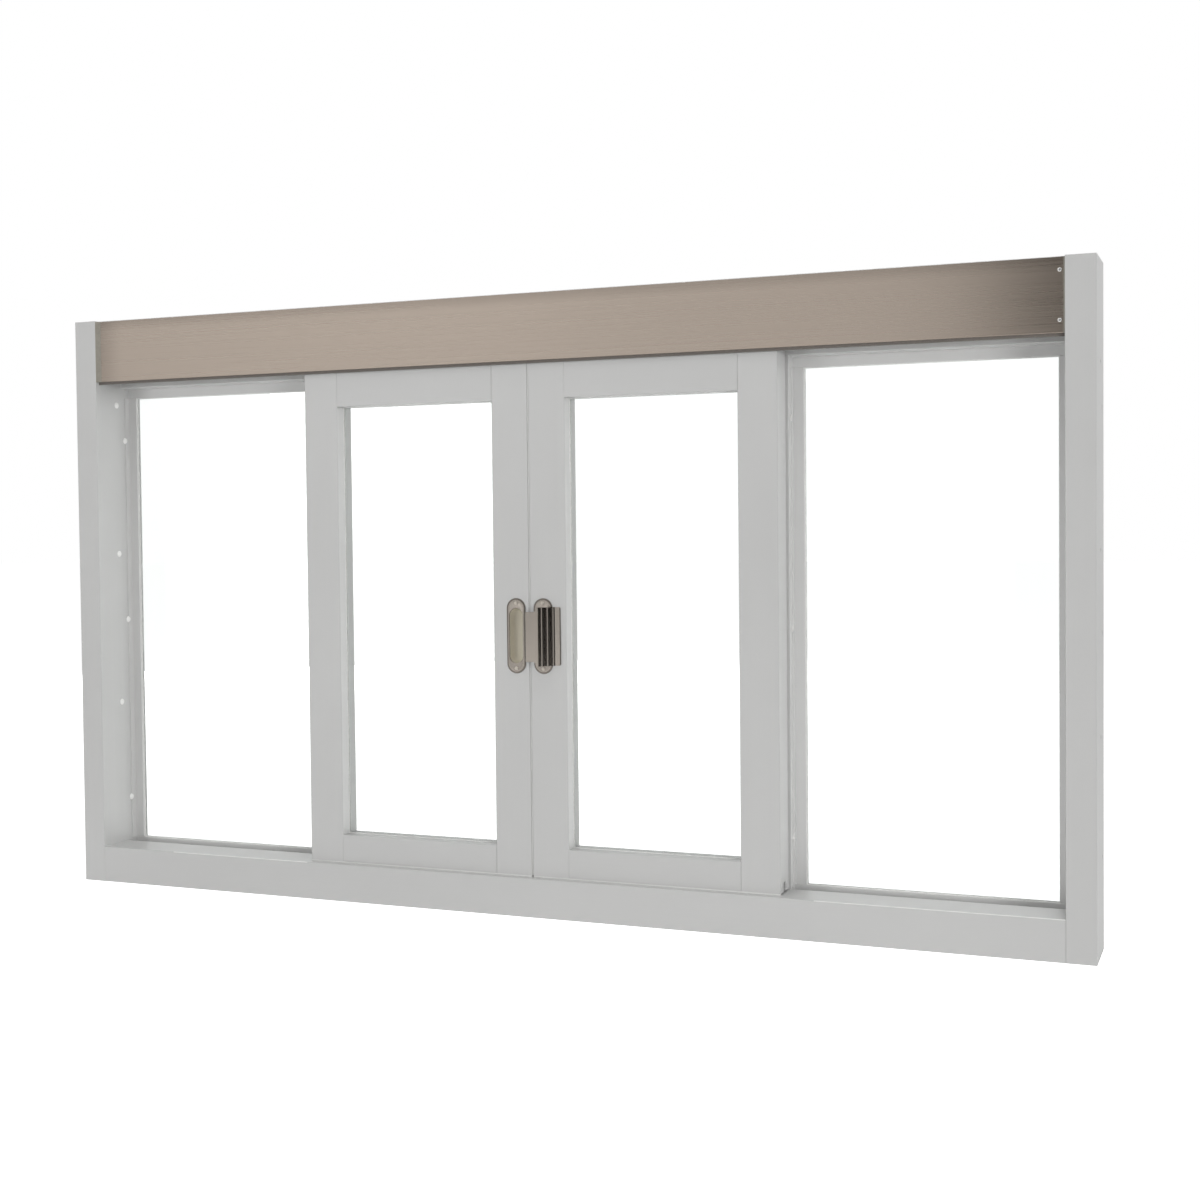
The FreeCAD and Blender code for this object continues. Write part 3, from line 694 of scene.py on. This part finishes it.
class WINDOW_OT_shadow_beads(bpy.types.Operator):
    """Adds dark beads in the corners between the cover's ends and the jambs: painted shadow."""
    bl_idname = "window.sealant"
    bl_label = "Seal Cover Ends"

    def execute(self, context):
        finish = context.scene.window_finish
        seals = context.scene.window_seals
        low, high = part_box("header_cover")
        jamb_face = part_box("sill")[1].x
        deepest = (low.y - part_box("left_jamb")[0].y) * 0.9
        sealant = extruded_rubber("tooled_silicone_bead", finish.sealant)
        for name, side, width in (("left_end_bead", -1, seals.left_bead),
                                  ("right_end_bead", 1, seals.right_bead)):
            corner = Vector((side * jamb_face, low.y, low.z))
            bead = corner_bead(name, corner, -side * width, -min(width, deepest),
                               high.z - low.z)
            bead.data.materials.append(sealant)
            finish_piece(bead)
        return {"FINISHED"}


class WINDOW_OT_seals(bpy.types.Operator):
    """Finishes the pile weather strips."""
    bl_idname = "window.seals"
    bl_label = "Fit Weather Strips"

    def execute(self, context):
        finish = context.scene.window_finish
        paint_nodes(("seal",), woven_pile("woven_pile_strip", finish.pile))
        paint_node("cover_seal", woven_pile("woven_pile_sweep", finish.sweep))
        return {"FINISHED"}


class WINDOW_OT_running_gear(bpy.types.Operator):
    """Finishes the hangers, the rollers and the bottom guides."""
    bl_idname = "window.running_gear"
    bl_label = "Finish Running Gear"

    def execute(self, context):
        finish = context.scene.window_finish
        zinc = cold_formed_steel("zinc_plated_steel", finish.zinc, 0.38)
        paint_nodes(("hangers",), zinc)
        paint_nodes(("rollers",), moulded_plastic("moulded_acetal", finish.acetal, 0.35))
        paint_nodes(("guide",), moulded_plastic("moulded_nylon", finish.nylon, 0.5))
        return {"FINISHED"}


# Inner edge of a flush pull's rim of painted shade, and half of its cup as a share of its width
RIM_RADIUS, RIM_STRAIGHT = 16.8 * MM, 53.7 * MM
CUP_SHARE = 0.36
# Faces of the cup's inside look forwards, or back by no more than this
CUP_TURN = 0.2
# Places of the plate's, the cup's and the rim's materials on a flush pull
PLATE, CUP, RIM = range(3)
PULL_PROFILE = (
    # radius, half of the straight side, depth behind the stile's face; all in mm
    (0.6, 40, 17.0), (9.0, 40, 16.9), (13.6, 40, 14.6), (15.4, 40, 9.0), (15.4, 40, 0.0),
    (20.0, 54, 0.0), (20.0, 54, -0.8), (19.7, 54, -1.4), (19.1, 54, -1.85), (18.3, 54, -2.0),
    (16.8, 53.7, -2.0), (15.0, 40.6, -2.0), (14.4, 40.2, -1.8), (14.05, 40, -1.2), (13.9, 40, 0.0),
    (13.7, 40, 4.0), (13.1, 40, 8.0), (11.8, 40, 11.4), (9.6, 40, 13.8), (6.6, 40, 15.1),
    (3.0, 40, 15.5), (0.6, 40, 15.5))


def dished_pull(name, centre):
    """Oval pull with a rolled rim and a rounded dish, drawn ring by ring from back to front."""
    shape = bmesh.new()
    ring = bmesh.ops.create_circle(shape, segments=RING_POINTS, radius=1.0)["verts"]
    half_step = Matrix.Rotation(math.pi / RING_POINTS, 3, "Z")
    bmesh.ops.rotate(shape, cent=(0, 0, 0), verts=ring,
                     matrix=Matrix.Rotation(math.pi / 2.0, 3, "X") @ half_step)
    spokes = [vert.co.copy() for vert in ring]
    for number, (radius, straight, depth) in enumerate(PULL_PROFILE):
        if number > 0:
            edges = [e for e in shape.edges if all(v in ring for v in e.verts)]
            grown = bmesh.ops.extrude_edge_only(shape, edges=edges)["geom"]
            ring = nearest_order(ring, [v for v in grown if isinstance(v, bmesh.types.BMVert)])
        for vert, spoke in zip(ring, spokes):
            vert.co = centre + Vector((
                spoke.x * radius, depth,
                spoke.z * radius + math.copysign(straight, spoke.z))) * MM
        if number in (0, len(PULL_PROFILE) - 1):
            shape.faces.new(ring)
    bmesh.ops.recalc_face_normals(shape, faces=shape.faces)
    piece = as_object(shape, name)
    shade_rounded(piece)
    return piece


def nearest_order(ring, grown):
    """The newly extruded points in the order of the ring that they lie on."""
    left = list(grown)
    ordered = []
    for vert in ring:
        closest = min(left, key=lambda other: (other.co - vert.co).length)
        left.remove(closest)
        ordered.append(closest)
    return ordered


def pull_part(face, centre, half_cup):
    """Whether a face of a flush pull is on its plate, in its cup or on its rim."""
    across, back, up = face.center - centre
    from_spine = math.hypot(across, max(0.0, abs(up) - RIM_STRAIGHT))
    if back < 0.0 and from_spine > RIM_RADIUS:
        return RIM
    if back > 0.0 and abs(across) < half_cup and face.normal.y < CUP_TURN:
        return CUP
    return PLATE


class WINDOW_OT_pulls(bpy.types.Operator):
    """Models the dished flush pulls, finishes the projecting bar and adds the screws."""
    bl_idname = "window.pulls"
    bl_label = "Fit Pulls"

    def execute(self, context):
        finish = context.scene.window_finish
        screws = context.scene.window_screws
        nickel = satin_nickel("satin_nickel_plate", finish.pull)
        # Painted shade: the rims' darker nickel stands in for the shade along the pulls' outer
        # edges
        rim_shade = satin_nickel("tarnished_nickel_rim", finish.rim)
        blasted = blasted_nickel(finish)
        paint_node("right_pull_bar", nickel)
        head = screw_head(screws.pull_head, screws.pull_rise)
        places = []
        for side in ("left", "right"):
            low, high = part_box(side + "_flush_pull")
            stile_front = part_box(side + "_meeting_stile")[0].y
            centre = Vector(((low.x + high.x) / 2.0, stile_front, (low.z + high.z) / 2.0))
            pull = dished_pull(side + "_dished_pull", centre)
            for material in (nickel, blasted, rim_shade):
                pull.data.materials.append(material)
            for face in pull.data.polygons:
                face.material_index = pull_part(face, centre, (high.x - low.x) * CUP_SHARE)
            finish_piece(pull)
            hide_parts(side + "_flush_pull")
            for way in (-1, 1):
                point = (centre.x, low.y, centre.z + way * screws.pull_spacing / 2.0)
                places.append((point, (0, -1, 0)))
        placed_copies("pull_screws", head, places, cold_formed_steel(
            "nickel_plated_pull_screws", finish.nickel, 0.42))
        return {"FINISHED"}


class WINDOW_OT_anchor_caps(bpy.types.Operator):
    """Adds the caps over the anchors in the jambs and over the fixings of the mullions."""
    bl_idname = "window.anchor_caps"
    bl_label = "Cap Anchors"

    def execute(self, context):
        finish = context.scene.window_finish
        screws = context.scene.window_screws
        cap = turned_mesh("anchor_cap", CAP_PROFILE, screws.cap_width, screws.cap_rise)
        jamb_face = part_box("sill")[1].x
        mullion_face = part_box("right_mullion_bead")[0].x
        in_jambs = []
        in_mullions = []
        for mount in frame["record"]["mounts"]:
            if "_anchor_" not in mount["name"]:
                continue
            x, y, z = mount["pos_m"]
            half = mount["dims"].get("spacing_y_mm", 0.0) * MM / 2.0
            side = math.copysign(1, x)
            for rise in sorted({-half, half}):
                in_jambs.append(((side * jamb_face, y, z + rise), (-side, 0, 0)))
                if "_rear_" in mount["name"]:
                    in_mullions.append(((side * mullion_face, y, z + rise), (side, 0, 0)))
        placed_copies("anchor_caps", cap, in_jambs,
                      moulded_plastic("moulded_white_nylon", finish.cap, 0.35))
        placed_copies("mullion_caps", cap, in_mullions,
                      moulded_plastic("moulded_grey_nylon", finish.plug, 0.35))
        return {"FINISHED"}


class WINDOW_OT_cover_screws(bpy.types.Operator):
    """Adds the two screws at the right end of the header cover."""
    bl_idname = "window.cover_screws"
    bl_label = "Screw Cover"

    def execute(self, context):
        screws = context.scene.window_screws
        low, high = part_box("header_cover")
        head = screw_head(screws.cover_head, screws.cover_rise)
        places = []
        for z in (low.z + screws.cover_edge, high.z - screws.cover_edge):
            places.append(((high.x - screws.cover_end, low.y, z), (0, -1, 0)))
        placed_copies("cover_screws", head, places, cold_formed_steel(
            "passivated_cover_screws", context.scene.window_finish.steel, 0.24))
        return {"FINISHED"}


def studio_floor(studio):
    """Pale sweep that shows white to the camera and keeps the window's shadow.

    A ray that has gone through clear glass counts as a mirrored one too, so both glows
    add up behind a pane.
    """
    material, tree, output = new_material("studio_floor_paper")
    ray = add_node(tree, "ShaderNodeLightPath")
    mirrored = add_node(tree, "ShaderNodeMath", {"operation": "MULTIPLY"}, {
        0: ray.outputs["Is Glossy Ray"], 1: studio.floor_mirrored})
    seen = add_node(tree, "ShaderNodeMath", {"operation": "MULTIPLY_ADD"}, {
        0: ray.outputs["Is Camera Ray"], 1: studio.floor_seen, 2: mirrored.outputs["Value"]})
    lift = add_node(tree, "ShaderNodeMath", {"operation": "MULTIPLY_ADD"}, {
        0: ray.outputs["Is Transmission Ray"], 1: studio.floor_through, 2: seen.outputs["Value"]})
    paper = add_node(tree, "ShaderNodeBsdfDiffuse", inputs={"Color": linear("#EDEDED")})
    glow = add_node(tree, "ShaderNodeEmission", inputs={
        "Color": linear("#FFFFFF"), "Strength": lift.outputs["Value"]})
    both = add_node(tree, "ShaderNodeAddShader", inputs={
        0: paper.outputs["BSDF"], 1: glow.outputs["Emission"]})
    tree.links.new(both.outputs["Shader"], output.inputs["Surface"])
    shape = bmesh.new()
    bmesh.ops.create_grid(shape, x_segments=1, y_segments=1, size=studio.floor / 2.0)
    floor = as_object(shape, "studio_floor")
    floor.data.materials.append(material)


def studio_world(studio):
    """Even white light all round, plain white where the camera looks past the floor."""
    world = bpy.data.worlds.new("studio_sky")
    bpy.context.scene.world = world
    world.use_nodes = True
    tree = world.node_tree
    tree.nodes.clear()
    ray = add_node(tree, "ShaderNodeLightPath")
    plain = add_node(tree, "ShaderNodeMapRange", inputs={
        "Value": ray.outputs["Is Diffuse Ray"], "To Min": 1.0, "To Max": studio.sky})
    strength = add_node(tree, "ShaderNodeMapRange", inputs={
        "Value": ray.outputs["Is Transmission Ray"], "To Min": plain.outputs["Result"],
        "To Max": studio.backdrop})
    sky = add_node(tree, "ShaderNodeBackground", inputs={
        "Color": linear("#FFFFFF"), "Strength": strength.outputs["Result"]})
    output = add_node(tree, "ShaderNodeOutputWorld")
    tree.links.new(sky.outputs["Background"], output.inputs["Surface"])


def soft_light(name, place, size, power):
    """Large square light that looks at the window."""
    lamp = bpy.data.lights.new(name, "AREA")
    lamp.size = size
    lamp.energy = power
    light = bpy.data.objects.new(name, lamp)
    light.location = place
    aim = Vector(LAMP_TARGET) - Vector(place)
    light.rotation_euler = aim.to_track_quat("-Z", "Y").to_euler()
    bpy.context.scene.collection.objects.link(light)
    return light


def dark_flag(name, low, high):
    """Dark card that only reflections see."""
    material, tree, output = new_material(name + "_card")
    black = add_node(tree, "ShaderNodeBsdfDiffuse", inputs={"Color": linear("#181614")})
    tree.links.new(black.outputs["BSDF"], output.inputs["Surface"])
    shape = bmesh.new()
    fill_box(shape, Vector(low), Vector(high))
    card = as_object(shape, name)
    card.data.materials.append(material)
    card.visible_camera = False
    card.visible_transmission = False
    card.visible_shadow = False
    card.visible_diffuse = False


def photo_camera(studio):
    """Camera at the photograph's place and angle."""
    yaw = studio.camera_yaw
    pitch = studio.camera_pitch
    ahead = Vector((-math.sin(yaw) * math.cos(pitch), math.cos(yaw) * math.cos(pitch),
                    -math.sin(pitch)))
    right = Vector((math.cos(yaw), math.sin(yaw), 0))
    up = right.cross(ahead)
    roll = Matrix.Rotation(-studio.camera_roll, 3, ahead)
    right = roll @ right
    up = roll @ up
    lens = bpy.data.cameras.new("photo_camera")
    lens.sensor_width = SENSOR_WIDTH
    lens.lens = studio.lens
    lens.shift_x, lens.shift_y = studio.shift
    camera = bpy.data.objects.new("photo_camera", lens)
    turn = Matrix((right, up, -ahead)).transposed().to_4x4()
    camera.matrix_world = Matrix.Translation(Vector(studio.camera_place)) @ turn
    bpy.context.scene.collection.objects.link(camera)
    bpy.context.scene.camera = camera


class WINDOW_OT_studio(bpy.types.Operator):
    """Sets the floor, the lights and the camera."""
    bl_idname = "window.studio"
    bl_label = "Set Studio"

    def execute(self, context):
        studio = context.scene.window_studio
        studio_floor(studio)
        studio_world(studio)
        for name, place, size, power, mirrored, through_glass in LAMPS:
            light = soft_light(name, place, size, getattr(studio, power))
            light.visible_glossy = mirrored
            light.visible_transmission = through_glass
        for name, low, high in FLAGS:
            dark_flag(name, low, high)
        photo_camera(studio)
        context.scene.view_settings.view_transform = "Standard"
        return {"FINISHED"}


class WINDOW_PT_panel(bpy.types.Panel):
    """Lists the window's settings and steps."""
    bl_idname = "WINDOW_PT_panel"
    bl_label = "Service Window"
    bl_space_type = "VIEW_3D"
    bl_region_type = "UI"
    bl_category = "Window"

    def draw(self, context):
        for group in GROUPS:
            settings = getattr(context.scene, group)
            box = self.layout.box()
            for name in settings.__annotations__:
                box.prop(settings, name)
        for step in STEPS:
            self.layout.operator(step.bl_idname)


GROUPS = {
    "window_finish": WindowFinish,
    "window_seals": WindowSeals,
    "window_screws": WindowScrews,
    "window_studio": WindowStudio,
}
STEPS = (
    WINDOW_OT_aluminium,
    WINDOW_OT_cover,
    WINDOW_OT_glass,
    WINDOW_OT_seals,
    WINDOW_OT_vinyl_seals,
    WINDOW_OT_sill_nose,
    WINDOW_OT_shadow_beads,
    WINDOW_OT_running_gear,
    WINDOW_OT_pulls,
    WINDOW_OT_anchor_caps,
    WINDOW_OT_cover_screws,
    WINDOW_OT_studio,
)


def register():
    """Adds the settings, the steps and the panel to Blender."""
    for item in (*GROUPS.values(), *STEPS, WINDOW_PT_panel):
        bpy.utils.register_class(item)
    for name, group in GROUPS.items():
        setattr(bpy.types.Scene, name, bpy.props.PointerProperty(type=group))


def unregister():
    """Takes them out again."""
    for name in GROUPS:
        delattr(bpy.types.Scene, name)
    for item in (WINDOW_PT_panel, *reversed(STEPS), *GROUPS.values()):
        bpy.utils.unregister_class(item)


def main():
    """Runs every step in order."""
    register()
    bpy.ops.window.aluminium()
    bpy.ops.window.cover()
    bpy.ops.window.glass()
    bpy.ops.window.seals()
    bpy.ops.window.vinyl_seals()
    bpy.ops.window.sill_nose()
    bpy.ops.window.sealant()
    bpy.ops.window.running_gear()
    bpy.ops.window.pulls()
    bpy.ops.window.anchor_caps()
    bpy.ops.window.cover_screws()
    bpy.ops.window.studio()


if __name__ == "__main__":
    main()
